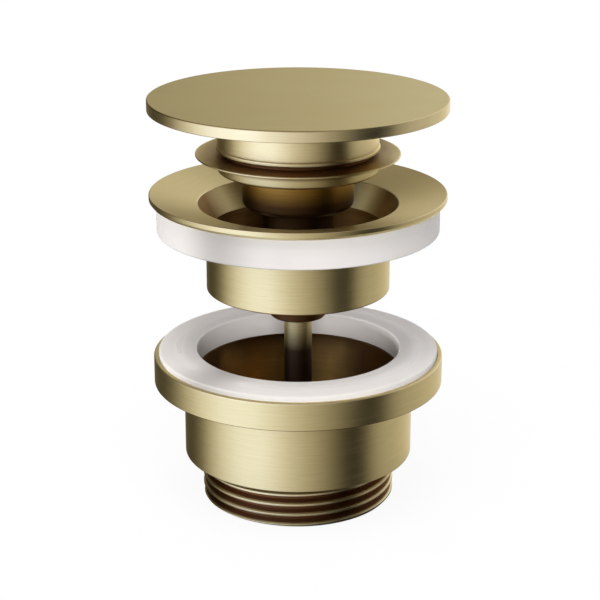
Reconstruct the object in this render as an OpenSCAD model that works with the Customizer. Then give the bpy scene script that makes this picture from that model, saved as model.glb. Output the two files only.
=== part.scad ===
// Pop-up basin waste with a click-clack plug, shown open.
// A dished flange and its tube come from above the basin and a threaded tail body from below.
// One long bolt draws the two together and clamps the basin between two gaskets.
// The axis is Z, the tail ends at Z = 0 and all sizes are in millimetres.

/* [Tail body] */
// Outside diameter of the tail's pipe thread, G 1 1/4
thread_d = 41.91; // [40:0.01:44]
// Pitch of the pipe thread
thread_pitch = 2.309; // [2:0.001:2.6]
// Depth of the pipe thread
thread_depth = 1.479; // [1.2:0.001:1.6]
// Length of the threaded tail below the body
tail_len = 9.9; // [9:0.1:14]
// Wall between the thread's root and the outlet
tail_wall = 1.55; // [1.3:0.05:2.2]
// Height of the plain body above the tail
body_h = 16.5; // [13:0.5:26]
// Wall of the plain body round its bore
body_wall = 3.2; // [2.2:0.1:4]
// Outside diameter of the cup that holds the lower gasket
cup_d = 62.5; // [60:0.5:68]
// Height of the cup
cup_h = 6; // [5.5:0.1:9]
// Depth of the gasket's seat in the cup
seat_depth = 3.9; // [3:0.1:4.5]
// Thickness of the brass lip round the gasket
cup_lip = 1; // [0.8:0.05:1.6]

/* [Tail bridge] */
// Height of the bridge's ring and spokes
bridge_t = 4; // [3:0.1:5]
// Width of a spoke, in the tail and in the tube
spoke_w = 2.6; // [2:0.1:4]
// Diameter of the bridge's threaded hub
bridge_hub_d = 12.6; // [11:0.1:15]
// How far the hub reaches above the spokes
hub_rise = 8; // [7:0.1:8.5]
// Thickness of the spring clip that holds the bridge
clip_t = 0.9; // [0.7:0.05:1.2]

/* [Gaskets] */
// Thickness of the lower gasket at its flat land
low_gasket_h = 5.2; // [4.7:0.1:7]
// Drop of the lower gasket's top towards its rim
low_gasket_crown = 0.8; // [0.4:0.05:1.2]
// Width of the lower gasket's flat land
land_w = 4; // [2:0.1:6]
// Outside diameter of the upper gasket
up_gasket_d = 60; // [57:0.5:62]
// Height of the upper gasket's outer wall
up_gasket_h = 6.3; // [5.5:0.1:9]
// Distance between the gaskets, where the basin goes
basin_gap = 26.4; // [22:0.1:40]

/* [Flange] */
// Outside diameter of the flange
flange_d = 63; // [62:0.5:70]
// Thickness of the flange
rim_t = 1.45; // [1.2:0.05:2]
// Diameter of the well's mouth
well_d = 42.6; // [42:0.1:45]
// Drop of the flange's dished top from rim to well
dish_drop = 2.3; // [1.5:0.1:3]
// Height of the well's conical seat
well_h = 5.3; // [4.5:0.1:7]
// Outside diameter of the flange's tube
tube_d = 39.2; // [38:0.1:40]
// Wall of the tube
tube_wall = 1.15; // [1:0.05:1.6]
// How far the tube reaches below the upper gasket
tube_drop = 13; // [11.5:0.1:16]
// Thickness of the spider in the tube
spider_t = 3.5; // [2.5:0.1:4.5]
// Height of the spider above the tube's end
spider_rise = 1.4; // [0.5:0.1:2]

/* [Cartridge] */
// Diameter of the cartridge's head
head_d = 23.6; // [22:0.1:26]
// Height of the head
head_h = 6.7; // [5.5:0.1:8]
// Diameter of the cartridge's barrel
barrel_d = 15.1; // [14.6:0.1:18]
// Diameter of the neck below the barrel
neck_d = 12; // [11.6:0.1:13]
// How far the neck reaches below the tube's end
neck_drop = 6.3; // [5:0.1:9]
// Diameter of the guide bush screwed into the head
bush_d = 19; // [17:0.1:20]
// Thickness of the guide bush
bush_t = 2; // [1.8:0.1:2.5]
// Diameter of the rotor's body
rotor_d = 10.6; // [10:0.1:10.8]
// Height of the rotor
rotor_h = 4; // [3:0.1:4.5]
// Diameter of the rotor's lugs
lug_d = 1.8; // [1.4:0.1:2]
// How far the lugs stand out of the rotor
lug_reach = 0.9; // [0.6:0.05:1]
// Turn of the rotor in one stroke, in degrees
cam_turn = 45; // [45]
// Wire diameter of the spring
spring_wire = 0.7; // [0.5:0.05:0.8]
// Outside diameter of the spring
spring_d = 8.7; // [8:0.1:8.8]
// Number of turns in the spring
spring_turns = 6; // [5:1:7]

/* [Stem bolt] */
// Diameter of the stem
stem_d = 6; // [5:0.1:6]
// Diameter of the bolt's head
bolt_head_d = 8.8; // [8.4:0.1:9]
// Height of the bolt's head
bolt_head_h = 3.2; // [2.5:0.1:4]
// Width across the bolt's hexagon socket
socket_w = 4; // [3:0.5:5]

/* [Plug] */
// Travel of the plug from open to closed
click_travel = 10; // [8:0.1:12]
// Diameter of the cap
cap_d = 63; // [60:0.5:70]
// Thickness of the cap
cap_t = 2.4; // [2.2:0.1:4]
// Diameter of the collar under the cap
collar_d = 34; // [32:0.1:37]
// Height of the collar
collar_h = 8.5; // [7.5:0.1:11]
// Diameter of the sealing disc
seal_d = 43.2; // [43:0.1:46]
// Thickness of the sealing disc's lip
seal_t = 0.4; // [0.3:0.05:0.8]
// Height of the sealing disc's hub
seal_hub_h = 1.23; // [1:0.01:2]
// Height of the retainer under the sealing disc
retainer_h = 3.4; // [3:0.1:5]
// Diameter of the retainer
retainer_d = 34; // [32:0.1:36]
// Wall of the cap's hub tube
hub_wall = 1.2; // [1:0.05:1.5]
// Diameter of the plunger's rod
rod_d = 8; // [7:0.1:9]
// Diameter of the plunger's pin, on which the rotor turns
pin_d = 4; // [3:0.1:5]

/* [Fits] */
// Radial clearance of pieces that are fitted together
fit_gap = 0.1; // [0.05:0.01:0.15]
// Clearance between pieces that move past each other
run_gap = 0.3; // [0.25:0.01:0.4]
// Radial play of the tube in the tail body's bore
tube_play = 2; // [1.5:0.1:2.5]
// Radial play of the cartridge's head in the cap's hub
head_play = 0.5; // [0.3:0.05:0.8]

/* [Hidden] */
$fn = 96;

brass = "#b8a771";
white_rubber = "#e9e6e4";
black_rubber = "#2a2a2c";
steel = "#b9bcc0";
acetal = "#dfe3e6";

// Small edge breaks
edge = 0.3;
fine_edge = 0.15;
spokes = 4;
// How far a cut runs past the face it starts from
over = 1;

// Thread: whole crests between a lead chamfer and a relief under the shoulder
flank_angle = 27.5;
flank = thread_depth * tan(flank_angle);
crest = (thread_pitch - 2 * flank) / 2;
thread_r = thread_d / 2;
root_r = thread_r - thread_depth;
lead = 0.36;
relief = 1.4;
crests = floor((tail_len - lead - crest - flank - relief) / thread_pitch) + 1;
lead_r = thread_r - lead / tan(flank_angle);

// Radii of the tail body, from the tube outwards and from the thread inwards
tube_r = tube_d / 2;
tube_bore_r = tube_r - tube_wall;
body_bore_r = tube_r + tube_play;
body_r = body_bore_r + body_wall;
cup_r = cup_d / 2;
seat_r = cup_r - cup_lip;
outlet_r = root_r - tail_wall;
ledge_w = 1.3;
ledge_r = outlet_r - ledge_w;
clip_depth = 0.6;
clip_r = outlet_r + clip_depth;

// Heights of the tail body
z_cup = tail_len + body_h;
z_cup_top = z_cup + cup_h;
z_seat = z_cup_top - seat_depth;
ledge_rise = 1.1;
ledge_t = 2;
funnel_h = 2;
z_bridge_top = tail_len + ledge_rise;
z_bridge = z_bridge_top - bridge_t;
z_clip = z_bridge - clip_t;
z_hub_top = z_bridge_top + hub_rise;

// Heights of the clamped basin and of the flange
z_low_gasket = z_seat + low_gasket_h;
z_up_gasket = z_low_gasket + basin_gap;
flange_r = flange_d / 2;
well_r = well_d / 2;
up_gasket_r = up_gasket_d / 2;
dish = dish_drop / (flange_r - well_r);
z_flange = z_up_gasket + up_gasket_h + fit_gap + rim_t + dish * (flange_r - up_gasket_r);
z_well = z_flange - dish_drop;
z_cone = z_well - well_h;
cone = (well_r - tube_bore_r) / well_h;
cone_lap = 0.5;
spider_margin = 1;
z_tube = z_up_gasket - tube_drop;
z_spider = z_tube + spider_rise;
z_spider_top = z_spider + spider_t;

// Plug, placed by its travel above the seat
seal_r = seal_d / 2;
z_seal = flange_top(seal_r) + run_gap + click_travel;
z_retainer = z_seal - retainer_h;
z_collar = z_seal + seal_hub_h;
z_cap = z_collar + collar_h;
z_cap_top = z_cap + cap_t;
collar_r = collar_d / 2;
retainer_r = retainer_d / 2;
head_r = head_d / 2;
hub_in_r = head_r + head_play;
hub_r = hub_in_r + hub_wall;
ring_r = hub_r + fit_gap;
hub_step = 0.4;
bead_h = 1.1;
bead_out = 0.25;
bead_cut = 0.15;
seal_hub_w = 2.3;
boss_d = 14;
cap_skin = 1.3;
rod_r = rod_d / 2;

// Cartridge, hung under the open plug and stood on the spider
head_gap = 0.9;
z_head_top = z_retainer - head_gap;
z_head = z_head_top - head_h;
head_round = 1.2;
washer_t = 0.5;
z_shoulder = z_spider_top + washer_t;
z_neck = z_tube - neck_drop;
barrel_r = barrel_d / 2;
neck_r = neck_d / 2;
bush_r = bush_d / 2;
z_bush = z_head_top - bush_t;
boss_len = z_cap - (z_head_top + click_travel + 2 * run_gap);
ring_section = 0.5;

// Plunger and rotor below the bush
rotor_r = rotor_d / 2;
bore_r = rotor_r + run_gap;
shoulder_t = 1.3;
z_plunger = z_bush - run_gap - shoulder_t;
z_rotor = z_plunger - fit_gap - rotor_h;
pin_r = pin_d / 2;
z_floor = z_rotor - click_travel - 2 * run_gap;
z_lug = z_rotor + rotor_h / 2;
lug_r = lug_d / 2;
lug_root = 1;
lug_tip = rotor_r + lug_reach;
groove_r = lug_tip + run_gap;
groove_end = lug_r + run_gap;
groove_w = lug_d + 2.6 * run_gap;

// Stem bolt, from its hold in the bridge up into the neck
stem_r = stem_d / 2;
stem_hold = 6.5;
z_stem = z_hub_top - stem_hold;
neck_bore_r = bolt_head_d / 2 + run_gap;
neck_floor = 2.5;
z_washer = z_neck + neck_floor;
z_bolt_head = z_washer + washer_t + fit_gap;
z_bolt_top = z_bolt_head + bolt_head_h;
socket_depth = 2;
z_disc = z_bolt_top + fit_gap;
z_spring = z_disc + washer_t;
spring_len = z_rotor - fit_gap - z_spring;

// Height of the flange's dished top at a radius
function flange_top(r) = z_flange - dish * (flange_r - r);

// Height of the flange's underside at a radius
function flange_under(r) = flange_top(r) - rim_t;

// Points along a round stretch, from angle a0 to a1
function arc(centre, r, a0, a1, n = 5) =
  [for (i = [0:n]) let (a = a0 + (a1 - a0) * i / n) centre + r * [cos(a), sin(a)]];

// One solid turned from a half section of [radius, height] points
module turned(points) rotate_extrude() polygon(points);

// A plain ring
module ring(outer, inner, h) {
  difference() {
    cylinder(r = outer, h = h);
    translate([0, 0, -over]) cylinder(r = inner, h = h + 2 * over);
  }
}

// Spokes from a hub to a ring wall
module spoke_cross(reach, h) {
  for (i = [0:spokes - 1])
    rotate(45 + 360 / spokes * i) translate([0, -spoke_w / 2, 0]) cube([reach, spoke_w, h]);
}

// Crests of the pipe thread, from the tail's end up
function thread_points() = [
  for (i = [0:crests - 1])
    let (z = lead + i * thread_pitch)
      each [
        if (i > 0) [root_r, z - flank],
        [thread_r, z],
        [thread_r, z + crest],
        [root_r, z + crest + flank],
      ]
];

module tail_body() {
  color(brass) turned(concat(
    [[outlet_r, 0], [lead_r, 0]],
    thread_points(),
    [
      [root_r, tail_len], [body_r - edge, tail_len], [body_r, tail_len + edge], [body_r, z_cup],
      [cup_r - fine_edge, z_cup], [cup_r, z_cup + fine_edge],
    ],
    arc([cup_r - edge, z_cup_top - edge], edge, 0, 90),
    [
      [seat_r, z_cup_top], [seat_r, z_seat], [body_bore_r, z_seat],
      [body_bore_r, z_bridge_top + ledge_t + funnel_h], [ledge_r, z_bridge_top + ledge_t],
      [ledge_r, z_bridge_top], [outlet_r, z_bridge_top],
      [outlet_r, z_bridge], [clip_r, z_bridge], [clip_r, z_clip - fit_gap], [outlet_r, z_clip - fit_gap],
    ]
  ));
}

module tail_bridge() {
  bridge_r = outlet_r - fit_gap;
  ring_w = 2;
  hub = bridge_hub_d / 2;
  tap_r = stem_r + fit_gap;
  hub_chamfer = 0.8;
  lead_in = 0.8;
  color(brass) difference() {
    union() {
      translate([0, 0, z_bridge]) ring(bridge_r, bridge_r - ring_w, bridge_t);
      translate([0, 0, z_bridge]) spoke_cross(bridge_r - ring_w / 2, bridge_t);
      turned([
        [0, z_bridge], [hub, z_bridge], [hub, z_hub_top - hub_chamfer],
        [hub - hub_chamfer, z_hub_top], [0, z_hub_top],
      ]);
    }
    turned([
      [0, z_bridge - over], [tap_r, z_bridge - over], [tap_r, z_hub_top - lead_in],
      [tap_r + lead_in + over, z_hub_top + over], [0, z_hub_top + over],
    ]);
  }
}

module bridge_clip() {
  outer = clip_r - fit_gap;
  opening = 50;
  clip_w = 2;
  color(steel) rotate(opening / 2) translate([0, 0, z_clip]) rotate_extrude(angle = 360 - opening)
    translate([outer - clip_w, 0]) square([clip_w, clip_t]);
}

module lower_gasket() {
  bore = body_bore_r + run_gap;
  outer = seat_r - fit_gap;
  round_r = 0.5;
  round_end = 80;
  color(white_rubber) turned(concat(
    [[bore, z_seat], [outer, z_seat]],
    arc([outer - round_r, z_low_gasket - low_gasket_crown - round_r], round_r, 0, round_end),
    [[bore + land_w, z_low_gasket], [bore + fine_edge, z_low_gasket], [bore, z_low_gasket - fine_edge]]
  ));
}

// The outer cone runs beside the seat and meets the flange's underside at cone_out
cone_base = z_cone - cone_lap;
cone_out = (tube_r + cone * (flange_under(0) - cone_base)) / (1 - cone * dish);

module flange_tube() {
  hub = barrel_r + run_gap + spider_margin;
  rim_chamfer = 0.45;
  color(brass) difference() {
    union() {
      turned([
        [tube_bore_r, z_tube], [tube_r - edge, z_tube], [tube_r, z_tube + edge], [tube_r, cone_base],
        [cone_out, flange_under(cone_out)], [flange_r - rim_chamfer, flange_under(flange_r - rim_chamfer)],
        [flange_r, flange_under(flange_r) + rim_chamfer], [flange_r, z_flange - fine_edge],
        [flange_r - fine_edge, flange_top(flange_r - fine_edge)], [well_r, z_well], [tube_bore_r, z_cone],
      ]);
      translate([0, 0, z_spider]) cylinder(r = hub, h = spider_t);
      translate([0, 0, z_spider]) spoke_cross(tube_r - tube_wall / 2, spider_t);
    }
    translate([0, 0, z_spider - over]) cylinder(r = neck_r + fit_gap, h = spider_t + 2 * over);
  }
}

module upper_gasket() {
  bore = cone_out + run_gap;
  color(white_rubber) turned([
    [bore, z_up_gasket], [up_gasket_r - edge, z_up_gasket], [up_gasket_r, z_up_gasket + edge],
    [up_gasket_r, flange_under(up_gasket_r) - fit_gap], [bore, flange_under(bore) - fit_gap],
  ]);
}

module barrel_washer() {
  color(acetal) translate([0, 0, z_spider_top]) ring(barrel_r, neck_r + fit_gap, washer_t);
}

// One stretch of the cam track: a blind groove that turns as it rises
module cam_groove(start, turn) {
  rise = click_travel + 2 * groove_end;
  per_mm = turn / click_travel;
  translate([0, 0, z_lug - click_travel - groove_end])
    rotate(start - per_mm * groove_end)
      linear_extrude(height = rise, twist = -per_mm * rise, slices = 12, $fn = 8)
        translate([rotor_r - run_gap, -groove_w / 2]) square([groove_r - rotor_r + run_gap, groove_w]);
}

module cartridge_barrel() {
  lugs = 360 / (2 * cam_turn);
  color(brass) difference() {
    turned(concat(
      [
        [stem_r + run_gap, z_neck], [neck_r - edge, z_neck], [neck_r, z_neck + edge], [neck_r, z_shoulder],
        [barrel_r, z_shoulder], [barrel_r, z_head],
      ],
      arc([head_r - head_round, z_head + head_round], head_round, -90, 0),
      [
        [head_r, z_head_top - edge], [head_r - edge, z_head_top], [bush_r, z_head_top], [bush_r, z_bush],
        [bore_r, z_bush], [bore_r, z_floor], [neck_bore_r, z_floor], [neck_bore_r, z_washer],
        [stem_r + run_gap, z_washer],
      ]
    ));
    for (i = [0:lugs - 1]) {
      cam_groove(2 * cam_turn * i - cam_turn, cam_turn);
      cam_groove(2 * cam_turn * i + cam_turn, -cam_turn);
    }
  }
}

module guide_bush() {
  bush_out = bush_r - fit_gap;
  slot_w = 1.6;
  slot_l = 3;
  counterbore = rod_r + fit_gap + 2 * ring_section + fit_gap;
  color(acetal) difference() {
    translate([0, 0, z_bush]) cylinder(r = bush_out, h = bush_t);
    translate([0, 0, z_bush - over]) cylinder(r = rod_r + fit_gap, h = bush_t + 2 * over);
    translate([0, 0, z_head_top - 2 * ring_section - fit_gap]) cylinder(r = counterbore, h = bush_t);
    for (side = [0, 180])
      rotate(side) translate([bush_out - slot_l, -slot_w / 2, z_head_top - bush_t / 2])
        cube([slot_l + over, slot_w, bush_t]);
  }
}

module wiper_ring() {
  color(black_rubber) translate([0, 0, z_head_top - ring_section]) rotate_extrude()
    translate([rod_r + fit_gap + ring_section, 0]) circle(r = ring_section, $fn = 32);
}

module stem_washer() {
  color(acetal) translate([0, 0, z_washer]) ring(bolt_head_d / 2, stem_r + run_gap, washer_t);
}

module stem_bolt() {
  head = bolt_head_d / 2;
  color(brass) difference() {
    turned([
      [0, z_stem], [stem_r - edge, z_stem], [stem_r, z_stem + edge], [stem_r, z_bolt_head],
      [head, z_bolt_head], [head, z_bolt_top - edge], [head - edge, z_bolt_top], [0, z_bolt_top],
    ]);
    translate([0, 0, z_bolt_top - socket_depth])
      cylinder(d = socket_w / cos(30), h = socket_depth + over, $fn = 6);
  }
}

module spring_disc() {
  color(steel) translate([0, 0, z_disc]) ring(bolt_head_d / 2, socket_w / 2, washer_t);
}

// The coil: rings of points along a helix, closed by a cap at each end
module click_spring() {
  sides = 6;
  steps = 14;
  mean_r = (spring_d - spring_wire) / 2;
  wire_r = spring_wire / 2;
  rings = spring_turns * steps;
  points = [
    for (i = [0:rings])
      let (turn = 360 * i / steps, z = z_spring + wire_r + (spring_len - spring_wire) * i / rings)
        for (k = [0:sides - 1])
          let (a = 360 * k / sides, r = mean_r + wire_r * cos(a))
            [r * cos(turn), r * sin(turn), z + wire_r * sin(a)]
  ];
  walls = [
    for (i = [0:rings - 1])
      for (k = [0:sides - 1])
        let (next = (k + 1) % sides)
          [i * sides + k, (i + 1) * sides + k, (i + 1) * sides + next, i * sides + next]
  ];
  first = [for (k = [0:sides - 1]) k];
  last = [for (k = [sides - 1:-1:0]) rings * sides + k];
  color(steel) polyhedron(points, concat(walls, [first, last]));
}

module plunger() {
  z_pin = z_rotor + run_gap;
  color(steel) turned([
    [0, z_pin], [pin_r - edge, z_pin], [pin_r, z_pin + edge], [pin_r, z_plunger], [rotor_r, z_plunger],
    [rotor_r, z_plunger + shoulder_t], [rod_r, z_plunger + shoulder_t],
    [rod_r, z_cap_top - cap_skin - fit_gap - edge], [rod_r - edge, z_cap_top - cap_skin - fit_gap],
    [0, z_cap_top - cap_skin - fit_gap],
  ]);
}

module cam_rotor() {
  z_rotor_top = z_rotor + rotor_h;
  lugs = 360 / (2 * cam_turn);
  color(acetal) difference() {
    union() {
      turned([
        [0, z_rotor], [rotor_r - edge, z_rotor], [rotor_r, z_rotor + edge],
        [rotor_r, z_rotor_top - edge], [rotor_r - edge, z_rotor_top], [0, z_rotor_top],
      ]);
      for (i = [0:lugs - 1])
        rotate(2 * cam_turn * i) translate([pin_r + lug_root, 0, z_lug]) rotate([0, 90, 0])
          cylinder(r = lug_r, h = lug_tip - pin_r - lug_root, $fn = 32);
    }
    translate([0, 0, z_rotor - over]) cylinder(r = pin_r + fit_gap, h = rotor_h + 2 * over);
  }
}

module plug_cap() {
  cap_r = cap_d / 2;
  boss_r = boss_d / 2;
  tap_r = rod_r + fit_gap;
  z_tap = z_cap_top - cap_skin;
  color(brass) turned([
    [0, z_tap], [tap_r, z_tap], [tap_r, z_cap - boss_len], [boss_r, z_cap - boss_len], [boss_r, z_cap],
    [hub_in_r, z_cap], [hub_in_r, z_retainer + hub_step], [hub_r, z_retainer + hub_step], [hub_r, z_cap],
    [cap_r - fine_edge, z_cap], [cap_r, z_cap + fine_edge], [cap_r, z_cap_top - fine_edge],
    [cap_r - fine_edge, z_cap_top], [0, z_cap_top],
  ]);
}

module plug_collar() {
  color(brass) turned([
    [ring_r, z_collar], [collar_r + bead_out - fine_edge, z_collar],
    [collar_r + bead_out, z_collar + fine_edge], [collar_r + bead_out, z_collar + bead_h - bead_out],
    [collar_r, z_collar + bead_h], [collar_r - bead_cut, z_collar + bead_h + bead_cut],
    [collar_r, z_collar + bead_h + 2 * bead_cut], [collar_r, z_cap], [ring_r, z_cap],
  ]);
}

module plug_seal() {
  seal_hub_r = ring_r + seal_hub_w;
  lip_round = seal_t / 2;
  color(brass) turned(concat(
    [[ring_r, z_seal]],
    arc([seal_r - lip_round, z_seal + lip_round], lip_round, -90, 90, 6),
    [[seal_hub_r, z_seal + seal_t], [seal_hub_r, z_collar], [ring_r, z_collar]]
  ));
}

module seal_retainer() {
  round_r = 0.8;
  color(brass) turned(concat(
    [[ring_r, z_retainer]],
    arc([retainer_r - round_r, z_retainer + round_r], round_r, -90, 0),
    [[retainer_r, z_seal], [ring_r, z_seal]]
  ));
}

tail_body();
tail_bridge();
bridge_clip();
lower_gasket();
flange_tube();
upper_gasket();
barrel_washer();
cartridge_barrel();
guide_bush();
wiper_ring();
stem_washer();
stem_bolt();
spring_disc();
click_spring();
plunger();
cam_rotor();
plug_cap();
plug_collar();
plug_seal();
seal_retainer();
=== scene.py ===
"""Brushed brass pop-up basin waste with white gaskets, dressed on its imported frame.

Sizes in the classes are millimetres, measured from the axis and up from the end of the tail.
They become metres when a mesh is laid. The front of the waste, which the camera sees, is -Y.
"""
import logging
import math
from dataclasses import dataclass
from enum import Enum
from typing import Sequence

import bpy
import numpy as np
from bpy.types import Material, Mesh, Node, NodeSocket, NodeTree, Object
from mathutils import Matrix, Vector
from numpy.typing import NDArray


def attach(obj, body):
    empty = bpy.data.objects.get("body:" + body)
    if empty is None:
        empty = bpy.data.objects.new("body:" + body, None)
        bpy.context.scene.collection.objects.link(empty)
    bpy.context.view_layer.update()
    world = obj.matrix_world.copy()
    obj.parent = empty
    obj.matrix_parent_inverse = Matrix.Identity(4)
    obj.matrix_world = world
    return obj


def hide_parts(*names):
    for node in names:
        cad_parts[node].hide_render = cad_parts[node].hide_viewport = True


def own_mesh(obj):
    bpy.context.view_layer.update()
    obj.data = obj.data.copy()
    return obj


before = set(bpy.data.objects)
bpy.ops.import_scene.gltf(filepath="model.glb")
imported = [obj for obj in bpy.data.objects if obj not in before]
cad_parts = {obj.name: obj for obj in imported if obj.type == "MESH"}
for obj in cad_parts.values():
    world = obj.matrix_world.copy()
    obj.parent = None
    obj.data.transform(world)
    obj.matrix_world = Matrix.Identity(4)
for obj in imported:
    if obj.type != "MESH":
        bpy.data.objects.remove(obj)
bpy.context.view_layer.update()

Array = NDArray[np.float64]
Colour = tuple[float, float, float]
Corner = tuple[float, ...]
Span = tuple[float, float]

MM = 0.001
COLUMNS = 240
FINE_COLUMNS = 288
EDGE_BREAK = 0.06
SIDES = (1.0, 1.0, 0.0, 0.0, 1.0, 1.0, 0.0, 0.0, 1.0, 1.0)
log = logging.getLogger("basin_waste")


class Grain(Enum):
    """Which way the brush ran over a brass face."""

    TURNED = "round the axis"
    STRAIGHT = "straight across the face"


class Lay(Enum):
    """Where a finish finds the direction of its grain."""

    ROUND_MAP = "Round"
    FLAT_MAP = "Flat"
    AXIS = "axis"


# Surfaces


def angles(columns: int) -> Array:
    """Angles of the columns round the axis, from the right by way of the back."""
    return np.linspace(0, 2 * np.pi, columns, endpoint=False)


def spin(columns: int) -> Array:
    """Unit directions of the columns."""
    a = angles(columns)
    return np.stack([np.cos(a), np.sin(a)], axis=1)


def by_angle(columns: int, degrees: Sequence[float], values: Sequence[float]) -> Array:
    """Values of the columns, joined evenly between the angles given."""
    return np.interp(np.degrees(angles(columns)), degrees, values)


@dataclass
class Section:
    """Rows of a half section: place, outward normal, and edge (1 on a proud round, -1 in a hollow one)."""

    r: Array
    z: Array
    nr: Array
    nz: Array
    edge: Array
    closed: bool

    @classmethod
    def rounded(cls, *corners: Corner, closed: bool = True, steps: int = 5) -> "Section":
        """Rounds every corner of a polygon that runs anticlockwise, with the axis on its left.

        Each round is an arc tangent to the corner's two sides: its ends lie round / tan(half angle)
        from the corner, and its points turn evenly about the centre on the corner's bisector.

        Args:
            corners: Each corner's distance from the axis, height and round, or no round for an edge break.
            closed: Whether the last corner joins the first. An open section keeps its two ends.
            steps: Number of pieces in each arc.

        Returns:
            The rounded section.
        """
        at = np.array([corner[:2] for corner in corners])
        rounds = np.array([(*corner, EDGE_BREAK)[2] for corner in corners])
        ends = at[[0, -1]]
        before, after = np.roll(at, 1, axis=0) - at, np.roll(at, -1, axis=0) - at
        if not closed:
            at, rounds, before, after = (part[1:-1] for part in (at, rounds, before, after))
        len_a, len_b = np.linalg.norm(before, axis=1), np.linalg.norm(after, axis=1)
        a, b = before / len_a[:, None], after / len_b[:, None]
        half = np.arccos(np.clip((a * b).sum(axis=1), -1, 1)) / 2
        reach = np.minimum(rounds / np.tan(half), 0.49 * np.minimum(len_a, len_b))
        radius = reach * np.tan(half)
        bisector = (a + b) / np.linalg.norm(a + b, axis=1)[:, None]
        centre = at + bisector * (radius / np.sin(half))[:, None]
        turn = np.arctan2(-a[:, 0] * b[:, 1] + a[:, 1] * b[:, 0], (-a * b).sum(axis=1))
        share = np.linspace(0, 1, steps + 1)
        heading = np.arctan2(-a[:, 1], -a[:, 0])[:, None] + turn[:, None] * share
        normal = np.stack([np.sin(heading), -np.cos(heading)], axis=2)
        points = centre[:, None] + normal * (radius * np.sign(turn))[:, None, None]
        edge = np.sign(turn)[:, None] * np.sin(np.pi * share)
        points, normal, edge = points.reshape(-1, 2), normal.reshape(-1, 2), edge.ravel()
        if not closed:
            points = np.vstack([ends[:1], points, ends[1:]])
            normal = np.vstack([normal[:1], normal, normal[-1:]])
            edge = np.concatenate([[0.0], edge, [0.0]])
        return cls(*points.T, *normal.T, edge, closed)

    @classmethod
    def upright(cls, r: float, z: Array) -> "Section":
        """A plain wall at one radius, with a row at each height."""
        zero = np.zeros_like(z)
        return cls(zero + r, z, zero + 1, zero, zero, False)

    @classmethod
    def joined(cls, *parts: "Section", closed: bool) -> "Section":
        """Joins sections end to end."""
        rows = zip(*((part.r, part.z, part.nr, part.nz, part.edge) for part in parts))
        return cls(*map(np.concatenate, rows), closed)


@dataclass
class Grid:
    """A surface on two parameters: rows along the section or path, columns round it. Columns always close."""

    points: Array
    normals: Array
    edge: Array
    rows_close: bool
    pole_first: bool = False
    pole_last: bool = False

    def reshape(self, rows: slice, r: Array) -> None:
        """Moves some rows to new distances from the axis.

        Their normals then come from the surface itself: the cross product of its slopes round and along.

        Args:
            rows: The rows to move.
            r: Distance of each of their points.
        """
        self.points[rows, :, :2] = r[..., None] * spin(r.shape[1])
        round_slope, along_slope = (
            np.roll(self.points, -1, axis) - np.roll(self.points, 1, axis) for axis in (1, 0)
        )
        cross = np.cross(round_slope[rows], along_slope[rows])
        self.normals[rows] = cross / np.linalg.norm(cross, axis=2, keepdims=True)

    def painted_satin_shade(self, bearing: float, width: float, depth: float) -> "Grid":
        """Lays a painted shade for satin rubber between two lights: a soft darker band, a bell round a
        bearing.

        Args:
            bearing: Middle of the shade in degrees from the front, less than zero to the left.
            width: Degrees over which it falls away.
            depth: Edge value at its middle, taken below zero.

        Returns:
            The same surface.
        """
        front = 270
        from_front = np.degrees(angles(self.edge.shape[1])) - front
        bell = np.exp(-(((from_front - bearing) / width) ** 2))
        self.edge = self.edge * (1 - bell) ** 3 - depth * bell
        return self


def turned(section: Section, columns: int = COLUMNS) -> Grid:
    """Carries a half section round the axis: a point is (r cos a, r sin a, z) for a round the full turn.

    Args:
        section: The half section.
        columns: Number of steps round the axis.

    Returns:
        The turned surface, with a pole wherever an open section starts or ends on the axis.
    """
    points = np.empty((section.r.size, columns, 3))
    normals = np.empty_like(points)
    points[:, :, :2] = section.r[:, None, None] * spin(columns)
    points[:, :, 2] = section.z[:, None]
    normals[:, :, :2] = section.nr[:, None, None] * spin(columns)
    normals[:, :, 2] = section.nz[:, None]
    edge = np.repeat(section.edge[:, None], columns, axis=1)
    poles = [not section.closed and section.r[i] < 1e-9 for i in (0, -1)]
    return Grid(points, normals, edge, section.closed, *poles)


def carried(path: Array, side: Array, up: Array, section: Section) -> Grid:
    """Carries a closed section along a path: a point is path + r side + z up, and a pole closes each end.

    Args:
        path: Points of the path, one row each.
        side: Unit direction of the section's first axis at each path point.
        up: Unit direction of its second axis at each path point.
        section: The closed section about its own middle.

    Returns:
        The swept surface with flat closed ends.
    """
    rows = path[:, None] + section.r[:, None] * side[:, None] + section.z[:, None] * up[:, None]
    out = section.nr[:, None] * side[:, None] + section.nz[:, None] * up[:, None]
    tips = np.repeat(path[[0, -1], None], section.r.size, axis=1)
    points = np.concatenate([tips[:1], rows, tips[1:]])
    normals = np.concatenate([out[:1], out, out[-1:]])
    edge = np.repeat(section.edge[None], points.shape[0], axis=0)
    return Grid(points, normals, edge, False, True, True)


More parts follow.
